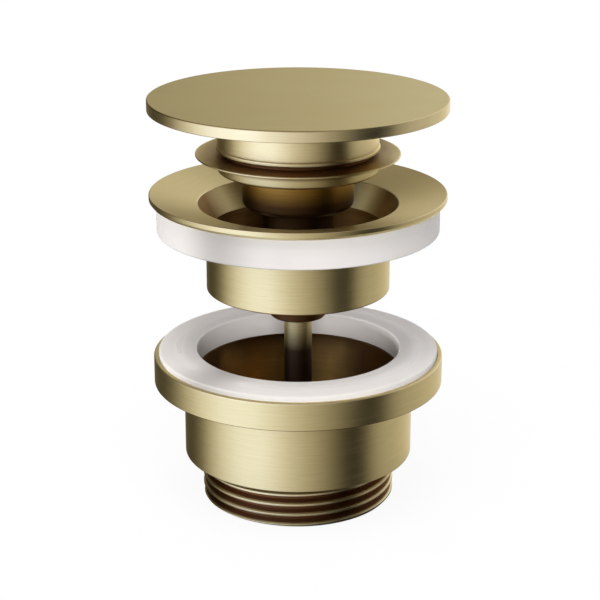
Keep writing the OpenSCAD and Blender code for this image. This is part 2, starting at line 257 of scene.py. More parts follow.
def lay_mesh(name: str, grid: Grid, flat_map: bool = False) -> Mesh:
    """Lays a grid into a closed mesh in metres, with its normals, edge values and grain map.

    Each cell becomes a four-sided face that looks along (columns x rows), and a cell at a pole a triangle.
    The map's first value is the share of the way round and its second the length along the rows.

    Args:
        name: Name of the mesh and of the piece made from it.
        grid: The surface, in millimetres.
        flat_map: Whether to add a second map of plain x and y, for a straight grain.

    Returns:
        The mesh.
    """
    rows, columns = grid.points.shape[:2]
    index = np.arange(rows * columns).reshape(rows, columns)
    if grid.pole_first:
        index = np.maximum(index - (columns - 1), 0)
    if grid.pole_last:
        index[-1] = index[-1, 0]
    keep = np.unique(index.ravel(), return_index=True)[1]
    points = grid.points.reshape(-1, 3)[keep] * MM
    normals = grid.normals.reshape(-1, 3)[keep]
    normals[0 if grid.pole_first else slice(0)] = (0, 0, np.sign(grid.normals[0, 0, 2]) or -1)
    normals[-1 if grid.pole_last else slice(0)] = (0, 0, np.sign(grid.normals[-1, 0, 2]) or 1)

    low = np.arange(rows if grid.rows_close else rows - 1)
    high = (low + 1) % rows
    right = (np.arange(columns) + 1) % columns
    quads = np.stack([index[low], index[low][:, right], index[high][:, right], index[high]], axis=2)
    step = np.linalg.norm(np.diff(grid.points, axis=0, append=grid.points[:1])[:, 0], axis=1) * MM
    length = np.concatenate([[0.0], np.cumsum(step)])
    u = np.stack([np.arange(columns), right, right, np.arange(columns)], axis=1).astype(float)
    u[-1, 1:3] = columns
    maps = np.empty((low.size, columns, 4, 2))
    maps[..., 0] = u[None] / columns
    maps[..., :2, 1] = length[low][:, None, None]
    maps[..., 2:, 1] = length[low + 1][:, None, None]

    faces: list[list[int]] = []
    loops: list[Array] = []
    first, last = int(grid.pole_first), low.size - int(grid.pole_last)
    for cells, uv, corner in (
        (quads[:first], maps[:first], [0, 2, 3]),
        (quads[first:last], maps[first:last], [0, 1, 2, 3]),
        (quads[last:], maps[last:], [0, 1, 2]),
    ):
        faces += cells[..., corner].reshape(-1, len(corner)).tolist()
        loops.append(uv[..., corner, :].reshape(-1, 2))
    mesh = bpy.data.meshes.new(name)
    mesh.from_pydata(points.tolist(), [], faces)
    mesh.uv_layers.new(name=Lay.ROUND_MAP.value).data.foreach_set("uv", np.concatenate(loops).ravel())
    mesh.attributes.new("edge", "FLOAT", "POINT").data.foreach_set("value", grid.edge.ravel()[keep])
    if flat_map:
        corner_point = np.empty(len(mesh.loops), dtype=np.int32)
        mesh.loops.foreach_get("vertex_index", corner_point)
        flat = points[corner_point, :2].ravel()
        mesh.uv_layers.new(name=Lay.FLAT_MAP.value).data.foreach_set("uv", flat)
    mesh.polygons.foreach_set("use_smooth", np.ones(len(mesh.polygons), dtype=bool))
    mesh.normals_split_custom_set_from_vertices(normals.tolist())
    mesh.update()
    return mesh


def index_faces(mesh: Mesh, within: float, low: float, high: float) -> None:
    """Gives the second material to the faces inside a cylinder about the axis.

    Args:
        mesh: The mesh, already laid.
        within: The cylinder's radius, in millimetres.
        low: Height of its lower end.
        high: Height of its upper end.
    """
    centres = np.empty(len(mesh.polygons) * 3)
    mesh.polygons.foreach_get("center", centres)
    x, y, z = centres.reshape(-1, 3).T / MM
    inside = (np.hypot(x, y) < within) & (z > low) & (z < high)
    mesh.polygons.foreach_set("material_index", inside.astype(np.int32))


# Finishes


class Board:
    """A node tree with short ways to add and join nodes. A value is a plain one or another node's socket."""

    def __init__(self, tree: NodeTree) -> None:
        """Clears the tree."""
        self.tree = tree
        tree.nodes.clear()

    def add(self, kind: str, **settings: object) -> Node:
        """Adds a shader node.

        Args:
            kind: Type name of the node, without its common start.
            settings: Properties of the node to set.

        Returns:
            The node.
        """
        node = self.tree.nodes.new("ShaderNode" + kind)
        for key, value in settings.items():
            setattr(node, key, value)
        return node

    def feed(self, target: NodeSocket, value: object) -> None:
        """Gives an input a link if the value is a socket, and a plain value if not.

        Args:
            target: The input.
            value: What it takes.
        """
        if isinstance(value, NodeSocket):
            self.tree.links.new(value, target)
        else:
            target.default_value = value

    def set(self, node: Node, values: dict[str | int, object]) -> NodeSocket:
        """Feeds some of a node's inputs.

        Args:
            node: The node.
            values: Values by the name or number of the input.

        Returns:
            The node's first output.
        """
        for key, value in values.items():
            self.feed(node.inputs[key], value)
        return node.outputs[0]

    def run(self, node: Node, *values: object) -> NodeSocket:
        """Feeds a node's first inputs in order and gives its first output."""
        return self.set(node, dict(enumerate(values)))

    def show(self, kind: str, shader: NodeSocket) -> None:
        """Joins a shader to the output of a material or a world."""
        self.feed(self.add("Output" + kind).inputs["Surface"], shader)

    def math(self, operation: str, *values: object) -> NodeSocket:
        """Works out one sum."""
        return self.run(self.add("Math", operation=operation), *values)

    def span(self, value: object, low: float, high: float, new_low: object, new_high: object) -> NodeSocket:
        """Maps a value from one range to another, held at the ends."""
        return self.run(self.add("MapRange"), value, low, high, new_low, new_high)

    def noise(self, vector: NodeSocket, scale: float, detail: float, rough: float) -> NodeSocket:
        """Adds a noise with so many features to the metre, finer octaves and share of each octave."""
        values = {"Vector": vector, "Scale": scale, "Detail": detail, "Roughness": rough}
        return self.set(self.add("TexNoise"), values)

    def mix(self, share: object, first: object, second: object) -> NodeSocket:
        """Mixes two colours.

        Args:
            share: How much of the second.
            first: First colour.
            second: Second colour.

        Returns:
            Socket of the mixed colour.
        """
        node = self.add("Mix", data_type="RGBA")
        tones = [tone if isinstance(tone, NodeSocket) else (*tone, 1.0) for tone in (first, second)]
        self.set(node, {0: share, 6: tones[0], 7: tones[1]})
        return node.outputs[2]

    def bump(self, height: NodeSocket, strength: float, depth: float) -> NodeSocket:
        """Raises the surface by a pattern, to a depth in metres."""
        return self.set(self.add("Bump"), {"Strength": strength, "Distance": depth, "Height": height})

    def coords(self, kind: str = "Object") -> NodeSocket:
        """Gives a kind of texture coordinates."""
        return self.add("TexCoord").outputs[kind]

    def stretched(self, coords: NodeSocket, scale: Colour) -> NodeSocket:
        """Scales coordinates along each axis."""
        return self.set(self.add("Mapping"), {"Vector": coords, "Scale": scale})

    def split(self, coords: NodeSocket) -> Sequence[NodeSocket]:
        """Splits coordinates.

        Args:
            coords: Socket of the coordinates.

        Returns:
            Sockets of x, y and z.
        """
        node = self.add("SeparateXYZ")
        self.run(node, coords)
        return list(node.outputs)

    def radius(self, x: NodeSocket, y: NodeSocket) -> NodeSocket:
        """Distance from the axis."""
        squares = [self.math("MULTIPLY", part, part) for part in (x, y)]
        return self.math("SQRT", self.math("ADD", *squares))

    def edges(self, rubbed_and_highlight: float = 1.0) -> Sequence[NodeSocket]:
        """Tells proud edges, up to a share, and hollow ones from edge values, painted highlight and shade
        among them.
        """
        edge = self.add("Attribute", attribute_name="edge").outputs["Fac"]
        return self.span(edge, 0.05, 0.9, 0.0, rubbed_and_highlight), self.span(edge, -0.05, -0.9, 0.0, 1.0)


class Finish:
    """A finish that makes its material once."""

    name: str

    def material(self) -> Material:
        """Finds the finish's material, or makes it on first use.

        Returns:
            The material.
        """
        known = bpy.data.materials.get(self.name)
        if known is not None:
            return known
        made = bpy.data.materials.new(self.name)
        made.use_nodes = True
        board = Board(made.node_tree)
        shader = board.add("BsdfPrincipled")
        board.show("Material", shader.outputs[0])
        self.paint(board, shader)
        return made

    def paint(self, board: Board, shader: Node) -> None:
        """Joins the finish's patterns to its shader."""
        raise NotImplementedError


@dataclass(frozen=True)
class BrushedBrass(Finish):
    """Brass with fine brush lines, lighter on proud edges and darker in hollow ones.

    Lighter edges are partly abrasion and partly painted highlight, darker ones partly patina and partly
    painted shade.
    Where shade heights are given, the brass darkens downwards between them: painted shade, as deep in a well.
    """

    name: str
    grain: Grain = Grain.TURNED
    lay: Lay = Lay.ROUND_MAP
    pale: Colour = (0.66, 0.555, 0.29)
    deep: Colour = (0.57, 0.475, 0.225)
    tarnish_and_shade: Colour = (0.145, 0.043, 0.012)
    polish_and_highlight: Colour = (0.88, 0.77, 0.50)
    grazing: Colour = (1.0, 0.93, 0.72)
    darkening: float = 0.92
    polishing: float = 0.75
    sink_shade: Span | None = None
    roughness: float = 0.36
    spread: float = 0.06
    anisotropy: float = 0.8
    quarter_turn: float = 0.25
    lines_across: float = 3400.0
    lines_along: float = 120.0
    line_depth: float = 0.0000016
    patch_scale: float = 55.0
    patch_share: float = 0.18

    def paint(self, board: Board, shader: Node) -> None:
        """Brush lines are a noise squeezed across the grain and stretched along it.

        A turned grain reads (x, y) slowly and height plus distance from the axis quickly, so that its lines
        run round the axis on walls, cones and flat faces alike. A straight grain reads y and height quickly.

        Args:
            board: The material's node tree.
            shader: Its Principled shader.
        """
        coords = board.coords()
        x, y, z = board.split(coords)
        if self.grain is Grain.TURNED:
            scales = (self.lines_along, self.lines_along, self.lines_across)
            places = (x, y, board.math("ADD", z, board.radius(x, y)))
        else:
            scales = (self.lines_along, self.lines_across, self.lines_across)
            places = (x, y, z)
        parts = [board.math("MULTIPLY", place, scale) for place, scale in zip(places, scales)]
        lines = board.noise(board.run(board.add("CombineXYZ"), *parts), 1.0, 4.0, 0.65)
        patches = board.noise(coords, self.patch_scale, 3.0, 0.55)
        # Proud edges mix toward the polish colour, partly abrasion and partly painted highlight; hollow edges
        # mix toward the dark colour, partly patina and partly painted shade.
        proud, hollow = board.edges()
        wear_and_painted_light = board.math("MULTIPLY", proud, board.span(patches, 0.35, 0.7, 0.35, 1.0))
        # Painted shade: darker downwards between the shade heights.
        if self.sink_shade is not None:
            low, high = self.sink_shade
            hollow = board.math("MAXIMUM", hollow, board.span(z, low * MM, high * MM, 1.0, 0.0))

        tone = board.mix(board.span(lines, 0.32, 0.68, 0.0, 1.0), self.deep, self.pale)
        tone = board.mix(board.span(patches, 0.45, 0.75, 0.0, self.patch_share), tone, self.deep)
        tone = board.mix(board.math("MULTIPLY", wear_and_painted_light, self.polishing), tone, self.polish_and_highlight)
        tone = board.mix(board.math("MULTIPLY", hollow, self.darkening), tone, self.tarnish_and_shade)
        dull = board.span(lines, 0.3, 0.7, self.roughness - self.spread, self.roughness + self.spread)
        dull = board.math("MULTIPLY_ADD", board.math("SUBTRACT", patches, 0.5), 0.08, dull)
        dull = board.math("MULTIPLY_ADD", wear_and_painted_light, -0.1, dull)
        dull = board.math("MULTIPLY_ADD", hollow, 0.08, dull)
        if self.lay is Lay.AXIS:
            tangent = board.add("Tangent", direction_type="RADIAL", axis="Z")
        else:
            tangent = board.add("Tangent", direction_type="UV_MAP", uv_map=self.lay.value)
        board.set(shader, {
            "Base Color": tone,
            "Roughness": dull,
            "Normal": board.bump(lines, 1.0, self.line_depth),
            "Metallic": 1.0,
            "Specular Tint": (*self.grazing, 1.0),
            "Anisotropic": self.anisotropy,
            "Anisotropic Rotation": self.quarter_turn,
            "Tangent": tangent.outputs[0],
        })


@dataclass(frozen=True)
class MouldedRubber(Finish):
    """Moulded gasket rubber: faint skin, mould flow rings, dust and painted shade, edges lighter by abrasion
    and painted highlight.
    """

    name: str
    colour: Colour
    dust_and_shade: Colour
    rubbed_and_highlight: Colour
    roughness: float = 0.42
    glow: float = 0.12
    glow_tint: Colour = (1.0, 0.95, 0.9)
    glow_reach: float = 0.0012
    specular: float = 0.15
    skin_scale: float = 5200.0
    skin_depth: float = 0.000008
    ring_scale: Colour = (30.0, 30.0, 900.0)
    dust_scale: float = 70.0

    def paint(self, board: Board, shader: Node) -> None:
        """The skin is fine noise, the rings a noise squeezed along the axis, the dust a broad one.

        Args:
            board: The material's node tree.
            shader: Its Principled shader.
        """
        coords = board.coords()
        skin = board.noise(coords, self.skin_scale, 3.0, 0.6)
        rings = board.noise(board.stretched(coords, self.ring_scale), 1.0, 2.0, 0.5)
        dust = board.noise(coords, self.dust_scale, 4.0, 0.6)
        proud, hollow = board.edges(0.7)
        # Hollow edges and the satin band mix toward the dark colour as painted shade; proud edges toward the
        # light one, partly abrasion and partly painted highlight.
        share = board.math("MAXIMUM", board.span(dust, 0.5, 0.8, 0.0, 0.14), hollow)
        share = board.math("ADD", share, board.span(rings, 0.35, 0.7, 0.0, 0.05))
        dull = board.span(dust, 0.3, 0.7, self.roughness - 0.05, self.roughness + 0.06)
        height = board.math("MULTIPLY_ADD", rings, 0.15, board.math("MULTIPLY", skin, 0.5))
        board.set(shader, {
            "Base Color": board.mix(proud, board.mix(share, self.colour, self.dust_and_shade), self.rubbed_and_highlight),
            "Roughness": board.math("MULTIPLY_ADD", proud, -0.25, dull),
            "Normal": board.bump(height, 0.6, self.skin_depth),
            "Specular IOR Level": self.specular,
            "Subsurface Weight": self.glow,
            "Subsurface Radius": self.glow_tint,
            "Subsurface Scale": self.glow_reach,
        })


@dataclass(frozen=True)
class MarkedStock(Finish):
    """Steel or plastic stock with fine marks round the axis, and clouds in its colour where given."""

    name: str
    low: Colour
    high: Colour
    marks: Colour
    octaves: float
    octave_share: float
    dull: Span
    depth: float
    strength: float = 1.0
    metal: float = 1.0
    clouds: float | None = None

    def paint(self, board: Board, shader: Node) -> None:
        """Marks are a noise read quickly along the axis and slowly across it, and clouds a broad one.

        Args:
            board: The material's node tree.
            shader: Its Principled shader.
        """
        coords = board.coords()
        marks = board.noise(board.stretched(coords, self.marks), 1.0, self.octaves, self.octave_share)
        if self.clouds is None:
            share = board.span(marks, 0.3, 0.7, 0.0, 1.0)
        else:
            share = board.span(board.noise(coords, self.clouds, 3.0, 0.5), 0.35, 0.7, 0.0, 1.0)
        board.set(shader, {
            "Base Color": board.mix(share, self.low, self.high),
            "Roughness": board.span(marks, 0.3, 0.7, *self.dull),
            "Normal": board.bump(marks, self.strength, self.depth),
            "Metallic": self.metal,
        })


@dataclass(frozen=True)
class Finishes:
    """All the finishes of the waste."""

    turned_brass: Finish = BrushedBrass("turned_brass")
    cap_brass: Finish = BrushedBrass(
        "cap_face_brass", Grain.STRAIGHT, Lay.FLAT_MAP, pale=(0.69, 0.585, 0.30), deep=(0.61, 0.515, 0.245),
        grazing=(1.0, 0.97, 0.82), lines_along=60.0,
    )
    # Painted glow and shade: an orange brass for the tail's bore, standing in for warm light bounced inside
    # it, near black where shaded.
    bore_glow_brass: Finish = BrushedBrass(
        "bore_glow_brass", pale=(1.0, 0.64, 0.20), deep=(0.86, 0.52, 0.14), tarnish_and_shade=(0.05, 0.022, 0.012),
        roughness=0.38,
    )
    # Painted shade: a dark copy of the brass for the flange's bore and the spider, standing in for the shade
    # inside the well.
    shaded_well_brass: Finish = BrushedBrass(
        "shaded_well_brass", pale=(0.27, 0.15, 0.045), deep=(0.19, 0.10, 0.028), tarnish_and_shade=(0.05, 0.02, 0.008),
        roughness=0.42,
    )
    # Painted highlight: a lighter copy of the brass for the collar, standing in for a brighter reflection on
    # it.
    collar_highlight_brass: Finish = BrushedBrass("collar_highlight_brass", pale=(0.84, 0.715, 0.395), deep=(0.74, 0.62, 0.31))
    # Painted shade: the stem darkens downwards into the bore.
    stem_brass: Finish = BrushedBrass(
        "stem_brass", tarnish_and_shade=(0.05, 0.025, 0.016), darkening=0.97, sink_shade=(33.2, 38.4)
    )
    # Painted shade: a darker, warmer copy of the brass for the cartridge and the bridge, darkening further
    # down the cartridge's head.
    shaded_inner_brass: Finish = BrushedBrass(
        "shaded_inner_brass", lay=Lay.AXIS, pale=(0.60, 0.35, 0.075), deep=(0.48, 0.265, 0.05),
        tarnish_and_shade=(0.055, 0.026, 0.013), sink_shade=(67.5, 72.6),
    )
    white_rubber: Finish = MouldedRubber(
        "moulded_white_rubber", (0.88, 0.842, 0.815), (0.55, 0.52, 0.495), (0.93, 0.90, 0.88)
    )
    black_rubber: Finish = MouldedRubber(
        "moulded_black_rubber", (0.022, 0.022, 0.023), (0.06, 0.058, 0.055), (0.03, 0.03, 0.03),
        roughness=0.5, glow=0.0,
    )
    steel: Finish = MarkedStock(
        "drawn_steel", (0.44, 0.44, 0.45), (0.62, 0.62, 0.63), marks=(120.0, 120.0, 2600.0),
        octaves=3.0, octave_share=0.6, dull=(0.2, 0.34), depth=0.0000012,
    )
    acetal: Finish = MarkedStock(
        "turned_acetal", (0.80, 0.81, 0.80), (0.68, 0.69, 0.68), marks=(60.0, 60.0, 3000.0),
        octaves=2.0, octave_share=0.5, dull=(0.3, 0.42), depth=0.000003, strength=0.8,
        metal=0.0, clouds=300.0,
    )


# The waste


@dataclass(frozen=True)
class ScrewThread:
    """A right-hand thread: crest radius, depth, pitch, half a crest's width, a flank's width, a height.

    The height is that of one crest at the front. The edge values at some heights over the root, as shares
    of the depth, paint shade into the groove and a lighter crest, partly abrasion and partly painted
    highlight.
    """

    crest_r: float
    depth: float
    pitch: float
    half_crest: float
    flank: float
    crest_z: float
    shade_and_wear_heights: Sequence[float]
    shade_and_wear: Sequence[float]
    soft: float = 0.35
    lead_in: float = 0.02

    def radius(self, z: Array, columns: int, start: float, end: float, fade: float) -> Array:
        """Radius of the threaded surface at a height and an angle.

        A crest climbs one pitch in one turn. The radius falls from the crest along straight flanks, softened
        at top and root, and the groove runs out over a stretch at the end.

        Args:
            z: Heights, one row each.
            columns: Number of steps round the axis.
            start: Height where the thread starts.
            end: Height where it has run out.
            fade: Length of the run-out.

        Returns:
            Radius on the grid of heights and angles.
        """
        rows = z[:, None]
        from_front = angles(columns)[None] + math.pi / 2
        turns = (rows - self.crest_z) / self.pitch - from_front / (2 * np.pi)
        away = np.abs(turns - np.round(turns)) * self.pitch
        height = np.clip((self.half_crest + self.flank - away) / self.flank, 0, 1)
        height = (1 - self.soft) * height + self.soft * height * height * (3 - 2 * height)
        height = height * np.clip((end - rows) / fade, 0, 1) * np.clip((rows - start) / self.lead_in, 0, 1)
        return self.crest_r - self.depth * (1 - height)

    def wear_and_painted_light(self, r: Array) -> Array:
        """Edge values of the thread by its radius: painted shade in the groove, a lighter crest."""
        return np.interp(1 + (r - self.crest_r) / self.depth, self.shade_and_wear_heights, self.shade_and_wear)


@dataclass
class SubAssembly:
    """One body of the waste and the finishes it is dressed in."""

    finishes: Finishes
    body: str = ""

    def place(
        self, mesh: Mesh, slot: str, finish: Finish, more: Sequence[Finish] = (), replaces: Sequence[str] = ()
    ) -> Object:
        """Stands a mesh on this body as a finished piece.

        Args:
            mesh: The piece's mesh, already in place, which gives it its name.
            slot: Not used.
            finish: Its finish.
            more: Further finishes, for faces with a higher material index.
            replaces: CAD nodes that it stands for.

        Returns:
            The piece.
        """
        piece = bpy.data.objects.new(mesh.name, mesh)
        bpy.context.scene.collection.objects.link(piece)
        for each in (finish, *more):
            mesh.materials.append(each.material())
        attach(piece, self.body)
        if replaces:
            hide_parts(*replaces)
        log.info("%s on %s: %d faces", mesh.name, self.body, len(mesh.polygons))
        return piece

    def dress(self, finish: Finish, *nodes: str) -> None:
        """Gives CAD nodes a finish in place of their plain colour.

        Args:
            finish: The finish.
            nodes: Names of the nodes.
        """
        for node in nodes:
            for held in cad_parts[node].material_slots:
                held.material = finish.material()
            log.info("%s on %s: dressed CAD node", node, self.body)

    def build(self) -> None:
        """Makes all the pieces of this body."""
        raise NotImplementedError


@dataclass
class Plug(SubAssembly):
    """The plug that pops up: cap, collar, sealing disc, retainer and plunger."""

    body: str = "plug"
    cap_r: float = 31.5
    cap_z: float = 86.086
    cap_top: float = 88.486
    top_skin: float = 0.005
    tap_z: float = 87.186
    boss_z: float = 82.656
    boss_r: float = 7.0
    tap_r: float = 4.1
    hub_in_r: float = 12.3
    hub_r: float = 13.5
    hub_z: float = 73.356
    rim_painted_highlight: float = 0.6
    rim_foot_shade: float = -0.8
    rim_angles: Sequence[float] = (150, 180, 275, 305)
    rim_painted_line: Sequence[float] = (0.6, -0.6, -0.6, 0.6)
    ring_r: float = 13.6
    collar_r: float = 17.0
    collar_z: float = 77.586
    groove: float = 0.03
    bead_r: float = 17.25
    bead_h: float = 0.95
    seal_z: float = 76.356
    seal_r: float = 21.6
    seal_t: float = 0.4
    seal_hub_r: float = 15.9
    seal_shade_angles: Sequence[float] = (0, 25, 60, 120, 155, 205, 240, 300, 335, 360)
    retainer_z: float = 72.956
    retainer_r: float = 17.0
    retainer_step: float = 0.02

    def cap(self) -> Mesh:
        """The disc of the cap over its hub tube and the boss that holds the plunger.

        Returns:
            The cap's mesh, its top face with the second material.
        """
        section = Section.rounded(
            (0, self.tap_z), (self.tap_r, self.tap_z, 0.2), (self.tap_r, self.boss_z, 0.3),
            (self.boss_r, self.boss_z, 0.3), (self.boss_r, self.cap_z, 0.6),
            (self.hub_in_r, self.cap_z, 0.6), (self.hub_in_r, self.hub_z, 0.15),
            (self.hub_r, self.hub_z, 0.15), (self.hub_r, self.cap_z, 0.1),
            (self.cap_r, self.cap_z, 0.22), (self.cap_r, self.cap_top, 0.24), (0, self.cap_top),
            closed=False,
        )
        grid = turned(section, FINE_COLUMNS)
        skin = self.cap_top - self.top_skin
        rim = section.r > self.cap_r - 0.2
        line = rim & (section.z > self.cap_top - 0.2) & (section.z < skin)
        shaded_lower_edge = (section.r > self.hub_r + 1) & (section.z < self.cap_z + 0.12)
        # Painted highlight on the rim's side, a painted edge along its top (shade from the left round to the
        # front, highlight elsewhere) and painted shade along the lower edge.
        grid.edge[rim & (section.z > self.cap_z + 0.15)] = self.rim_painted_highlight
        grid.edge[line] = by_angle(FINE_COLUMNS, self.rim_angles, self.rim_painted_line)
        grid.edge[shaded_lower_edge] = self.rim_foot_shade
        mesh = lay_mesh("plug_cap_brushed", grid, flat_map=True)
        index_faces(mesh, self.cap_r, skin, self.cap_top + 1)
        return mesh

    def collar(self) -> Mesh:
        """The collar: a plain wall over a fine groove and a rounded bead.

        Returns:
            The collar's mesh.
        """
        bead_top = self.collar_z + self.bead_h
        grid = turned(Section.rounded(
            (self.ring_r, self.collar_z), (self.bead_r, self.collar_z, 0.3),
            (self.bead_r, bead_top - 0.2, 0.3), (self.collar_r - self.groove, bead_top + 0.1, 0.2),
            (self.collar_r, bead_top + 0.3, 0.2), (self.collar_r, self.cap_z), (self.ring_r, self.cap_z),
        ))
        grid.edge = np.maximum(grid.edge, -0.1)
        return lay_mesh("plug_collar_beaded", grid)

    def seal(self) -> Mesh:
        """The sealing disc: a thin lip with a rolled rim round a low hub, with painted shade in the gap under
        the collar.

        Returns:
            The disc's mesh.
        """
        lip = self.seal_z + self.seal_t
        section = Section.rounded(
            (self.ring_r, self.seal_z), (self.seal_r, self.seal_z, 0.18), (self.seal_r, lip, 0.18),
            (self.seal_r - 0.4, lip - 0.005), (self.seal_r - 1.2, lip - 0.015),
            (self.seal_r - 2.4, lip - 0.02), (self.seal_hub_r, lip, 0.15),
            (self.seal_hub_r, self.collar_z), (self.ring_r, self.collar_z),
        )
        upper = section.z > lip - 0.1
        top = upper & (section.r < self.seal_r - 0.25)
        # Lighter rim, partly abrasion and partly painted highlight.
        section.edge[upper & ~top] = 1.0
        grid = turned(section)
        # Painted shade on the disc's top: dark up to the rim at the front, only near the collar at the sides.
        front = np.interp(section.r[top], [self.seal_r - 0.5, self.seal_r - 0.3], [-1.0, -0.6])
        aside = np.interp(section.r[top], [self.collar_r, self.seal_r - 0.4], [-0.9, -0.06])
        share = by_angle(COLUMNS, self.seal_shade_angles, SIDES)
        grid.edge[top] = front[:, None] * (1 - share) + aside[:, None] * share
        return lay_mesh("plug_seal_disc", grid)

    def retainer(self) -> Mesh:
        """The ring that holds the sealing disc, rounded below, with painted shade where it meets the disc and
        along its foot.

        Returns:
            The ring's mesh.
        """
        upper_r = self.retainer_r - self.retainer_step
        section = Section.rounded(
            (self.ring_r, self.retainer_z, 0.2), (self.retainer_r, self.retainer_z, 0.6),
            (self.retainer_r, self.seal_z - 1.9), (upper_r, self.seal_z - 1.2),
            (upper_r, self.seal_z, 0.12), (self.ring_r, self.seal_z),
            steps=8,
        )
        # Painted shade: darker at the foot and just under the disc.
        heights = self.retainer_z + np.array([0.0, 0.12, 0.4]), self.seal_z - np.array([1.9, 1.1])
        section.edge = np.interp(section.z, np.concatenate(heights), [-1.0, -0.8, 0.0, 0.0, -0.8])
        return lay_mesh("seal_retainer_ring", turned(section))

    def build(self) -> None:
        """Makes the plug's pieces and dresses the plunger."""
        use = self.finishes
        self.place(self.cap(), "brass", use.turned_brass, [use.cap_brass], replaces=["plug_cap"])
        self.place(self.collar(), "brass", use.collar_highlight_brass, replaces=["plug_collar"])
        self.place(self.seal(), "brass", use.turned_brass, replaces=["plug_seal"])
        self.place(self.retainer(), "brass", use.turned_brass, replaces=["seal_retainer"])
        self.dress(use.steel, "plunger")


@dataclass
class Flange(SubAssembly):
    """The upper half: dished flange with its well and tube, its gasket, and the cartridge inside."""

    body: str = "flange"
    rim_r: float = 31.5
    top_z: float = 68.288
    rim_t: float = 1.45
    rim_chamfer: float = 0.45
    well_r: float = 21.3
    well_z: float = 65.988
    cone_z: float = 60.688
    cone_base: float = 60.188
    cone_out: float = 22.027
    cone_shade: float = -0.8
    cone_shade_angles: Sequence[float] = (0, 22, 42, 142, 164, 196, 218, 318, 338, 360)
    bore_r: float = 18.45
    tube_r: float = 19.6
    tube_z: float = 47.1
    tube_end_shade: float = -0.9
    spider_z: float = 48.5
    spider_t: float = 3.5
    spider_hub_r: float = 8.85
    spider_bore_r: float = 6.1
    spider_columns: int = 160
    spokes: int = 4
    spoke_w: float = 2.6
    spoke_round: float = 0.45
    spoke_lap: float = 0.4
    gasket_r: float = 30.0
    gasket_bore: float = 22.327
    gasket_z: float = 60.1
    gasket_gap: float = 0.1
    spring_z: float = 47.7
    spring_len: float = 16.556
    spring_r: float = 4.35
    spring_wire: float = 0.7
    spring_turns: int = 6
    turn_steps: int = 48
    wire_steps: int = 14
    end_share: float = 0.1
    end_pitch: float = 0.4
    stroke: float = 10.0

    def under(self, r: float) -> float:
        """Height of the flange's underside at a radius, below its dished top."""
        dish = (self.top_z - self.well_z) / (self.rim_r - self.well_r)
        return self.top_z - dish * (self.rim_r - r) - self.rim_t

    def shell(self) -> Mesh:
        """The flange, the well's cone and the tube as one turned wall.

        Returns:
            The wall's mesh, its bore with the second material.
        """
        low = self.rim_r - self.rim_chamfer
        section = Section.rounded(
            (self.bore_r, self.tube_z, 0.15), (self.tube_r, self.tube_z, 0.3),
            (self.tube_r, self.cone_base, 0.5), (self.cone_out, self.under(self.cone_out), 0.3),
            (low, self.under(low), 0.1), (self.rim_r, self.under(self.rim_r) + self.rim_chamfer, 0.12),
            (self.rim_r, self.top_z, 0.2), (self.well_r, self.well_z, 0.35), (self.bore_r, self.cone_z, 0.25),
            steps=6,
        )
        # Painted shade along the tube's lower end.
        section.edge[section.z < self.tube_z + 0.25] = self.tube_end_shade
        grid = turned(section, FINE_COLUMNS)
        past_bore = self.bore_r + 0.02
        # Painted shade on the well's cone, at its left and right sides.
        cone = (section.r > past_bore) & (section.r < self.well_r - 0.05) & (section.z > self.cone_z)
        grid.edge[cone] = self.cone_shade * by_angle(FINE_COLUMNS, self.cone_shade_angles, SIDES)
        mesh = lay_mesh("flange_shell", grid)
        # The bore takes the second, shaded brass: painted shade.
        index_faces(mesh, past_bore, self.tube_z + 0.3, self.cone_z)
        return mesh

    def spider_hub(self) -> Mesh:
        """The ring in the tube that the cartridge stands on.

        Returns:
            The ring's mesh.
        """
        top = self.spider_z + self.spider_t
        section = Section.rounded(
            (self.spider_bore_r, self.spider_z, 0.25), (self.spider_hub_r, self.spider_z, 0.4),
            (self.spider_hub_r, top, 0.4), (self.spider_bore_r, top, 0.25),
        )
        return lay_mesh("spider_hub", turned(section, self.spider_columns))

    def spoke(self, index: int) -> Mesh:
        """One spoke from the hub into the tube's wall: a rounded bar carried outwards.

        Args:
            index: Which of the spokes.

        Returns:
            The spoke's mesh.
        """
        a = 2 * math.pi * (index + 0.5) / self.spokes
        w, h = self.spoke_w / 2, self.spider_t / 2
        section = Section.rounded(
            *((x, z, self.spoke_round) for x, z in ((-w, -h), (w, -h), (w, h), (-w, h)))
        )
        along = np.array([math.cos(a), math.sin(a), 0.0])
        middle = np.array([0.0, 0.0, self.spider_z + h])
        reach = np.array([self.spider_hub_r - self.spoke_lap, self.bore_r + self.spoke_lap])
        path = middle + reach[:, None] * along
        side = np.tile([-math.sin(a), math.cos(a), 0.0], (2, 1))
        up = np.tile([0.0, 0.0, 1.0], (2, 1))
        return lay_mesh(f"spider_spoke_{index}", carried(path, side, up, section))

    def gasket(self) -> Mesh:
        """The white ring under the flange, its top following the flange's slope.

        Returns:
            The ring's mesh.
        """
        section = Section.rounded(
            (self.gasket_bore, self.gasket_z, 0.3), (self.gasket_r, self.gasket_z, 0.4),
            (self.gasket_r, self.under(self.gasket_r) - self.gasket_gap, 0.25),
            (self.gasket_bore, self.under(self.gasket_bore) - self.gasket_gap, 0.2),
            steps=7,
        )
        # Painted shade: a soft darker band left of the front.
        shaded = turned(section).painted_satin_shade(bearing=-33.0, width=12.0, depth=0.8)
        return lay_mesh("upper_gasket_moulded", shaded)

